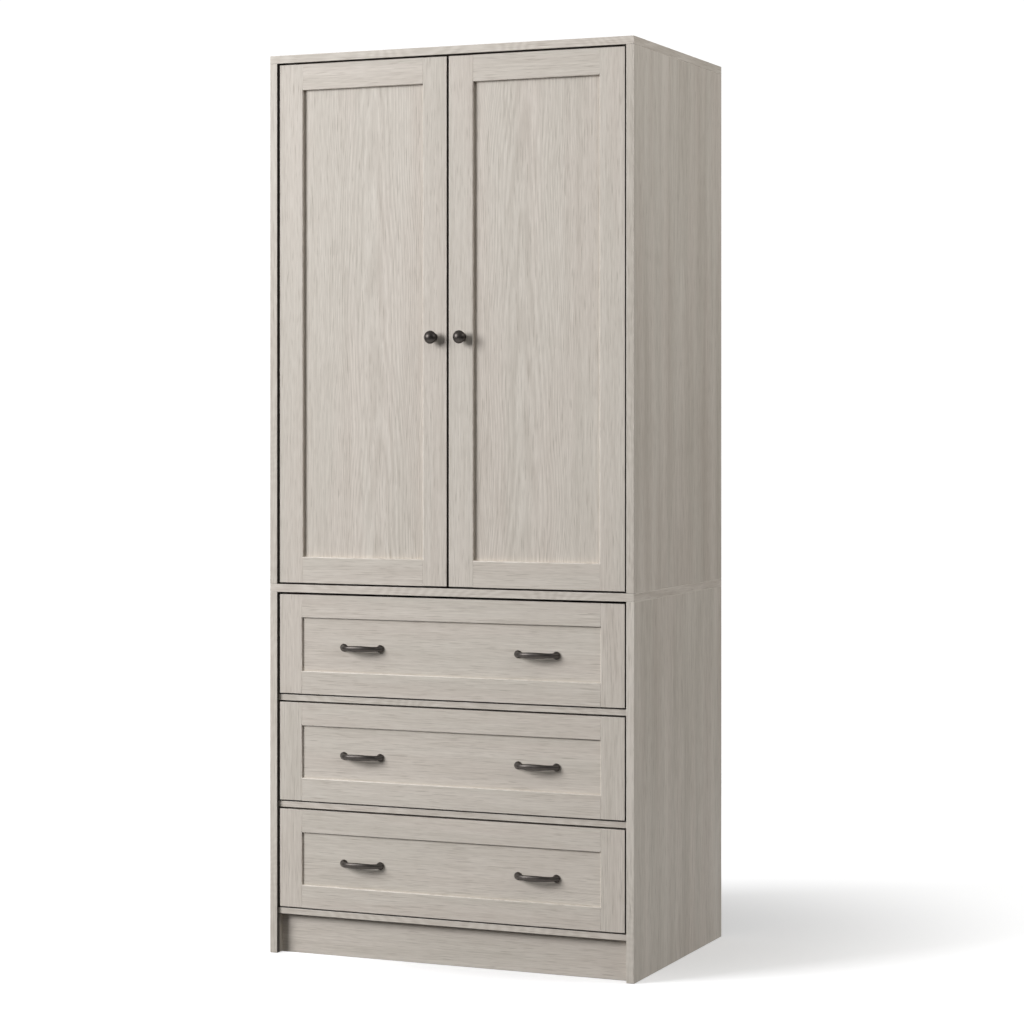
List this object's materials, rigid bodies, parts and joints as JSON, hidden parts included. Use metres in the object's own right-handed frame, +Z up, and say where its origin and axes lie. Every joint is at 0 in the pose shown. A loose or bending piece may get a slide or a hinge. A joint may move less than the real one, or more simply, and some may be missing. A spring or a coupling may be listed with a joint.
{
  "type": "armoire",
  "caption": "Tall free-standing armoire: framed inset doors over a bank of drawers, round knobs and bow pulls, recessed kick, concealed hinges and an inner hanging rod.",
  "frame": {"origin": "on the floor, under the middle of the whole object with the knobs counted in", "axes": "+Z up, the doors and drawers face -Y, +X towards the right-hand door seen from in front"},
  "size_m": [0.78, 0.538, 1.8],
  "materials": {
    "oak_laminate": "whitewashed oak woodgrain laminate, satin",
    "drawer_board": "pale woodgrain paper on particle board",
    "hardboard": "thin hardboard, pale printed face, matt",
    "dark_bronze": "dark oil-rubbed bronze, satin",
    "hinge_steel": "nickel-plated pressed steel",
    "runner_enamel": "white powder-coated steel",
    "rod_chrome": "chromed steel tube"
  },
  "bodies": {
    "carcass": {"top_panel": "oak_laminate", "middle_panel": "oak_laminate", "upper_side_left": "oak_laminate", "upper_side_right": "oak_laminate", "lower_side_left": "oak_laminate", "lower_side_right": "oak_laminate", "bottom_panel": "oak_laminate", "kick_board": "oak_laminate", "rear_kick_board": "oak_laminate", "drawer_rail_lower": "oak_laminate", "drawer_rail_upper": "oak_laminate", "back_panel": "hardboard", "hanging_rod": "rod_chrome", "hinge_arm_left_lower": "hinge_steel", "hinge_arm_left_upper": "hinge_steel", "hinge_arm_right_lower": "hinge_steel", "hinge_arm_right_upper": "hinge_steel", "runner_lower_left": "runner_enamel", "runner_lower_right": "runner_enamel", "runner_middle_left": "runner_enamel", "runner_middle_right": "runner_enamel", "runner_upper_left": "runner_enamel", "runner_upper_right": "runner_enamel"},
    "door_left": {"door_left_meeting_stile": "oak_laminate", "door_left_hinge_stile": "oak_laminate", "door_left_top_rail": "oak_laminate", "door_left_bottom_rail": "oak_laminate", "door_left_panel": "oak_laminate", "door_left_knob": "dark_bronze", "door_left_hinge_cup_lower": "hinge_steel", "door_left_hinge_cup_upper": "hinge_steel"},
    "door_right": {"door_right_meeting_stile": "oak_laminate", "door_right_hinge_stile": "oak_laminate", "door_right_top_rail": "oak_laminate", "door_right_bottom_rail": "oak_laminate", "door_right_panel": "oak_laminate", "door_right_knob": "dark_bronze", "door_right_hinge_cup_lower": "hinge_steel", "door_right_hinge_cup_upper": "hinge_steel"},
    "drawer_lower": {"drawer_lower_front": "oak_laminate", "drawer_lower_side_left": "drawer_board", "drawer_lower_side_right": "drawer_board", "drawer_lower_back": "drawer_board", "drawer_lower_bottom": "hardboard", "drawer_lower_pull_left": "dark_bronze", "drawer_lower_pull_right": "dark_bronze"},
    "drawer_middle": {"drawer_middle_front": "oak_laminate", "drawer_middle_side_left": "drawer_board", "drawer_middle_side_right": "drawer_board", "drawer_middle_back": "drawer_board", "drawer_middle_bottom": "hardboard", "drawer_middle_pull_left": "dark_bronze", "drawer_middle_pull_right": "dark_bronze"},
    "drawer_upper": {"drawer_upper_front": "oak_laminate", "drawer_upper_side_left": "drawer_board", "drawer_upper_side_right": "drawer_board", "drawer_upper_back": "drawer_board", "drawer_upper_bottom": "hardboard", "drawer_upper_pull_left": "dark_bronze", "drawer_upper_pull_right": "dark_bronze"}
  },
  "joints": [
    {"name": "door_left_hinge", "type": "hinge", "parent": "carcass", "child": "door_left", "pos_m": [-0.3715, -0.245, 1.26225], "axis": [0, 0, -1], "range_deg": [0, 110]},
    {"name": "door_right_hinge", "type": "hinge", "parent": "carcass", "child": "door_right", "pos_m": [0.3715, -0.245, 1.26225], "axis": [0, 0, 1], "range_deg": [0, 110]},
    {"name": "drawer_lower_slide", "type": "slide", "parent": "carcass", "child": "drawer_lower", "axis": [0, -1, 0], "range_m": [0, 0.335]},
    {"name": "drawer_middle_slide", "type": "slide", "parent": "carcass", "child": "drawer_middle", "axis": [0, -1, 0], "range_m": [0, 0.335]},
    {"name": "drawer_upper_slide", "type": "slide", "parent": "carcass", "child": "drawer_upper", "axis": [0, -1, 0], "range_m": [0, 0.335]}
  ]
}
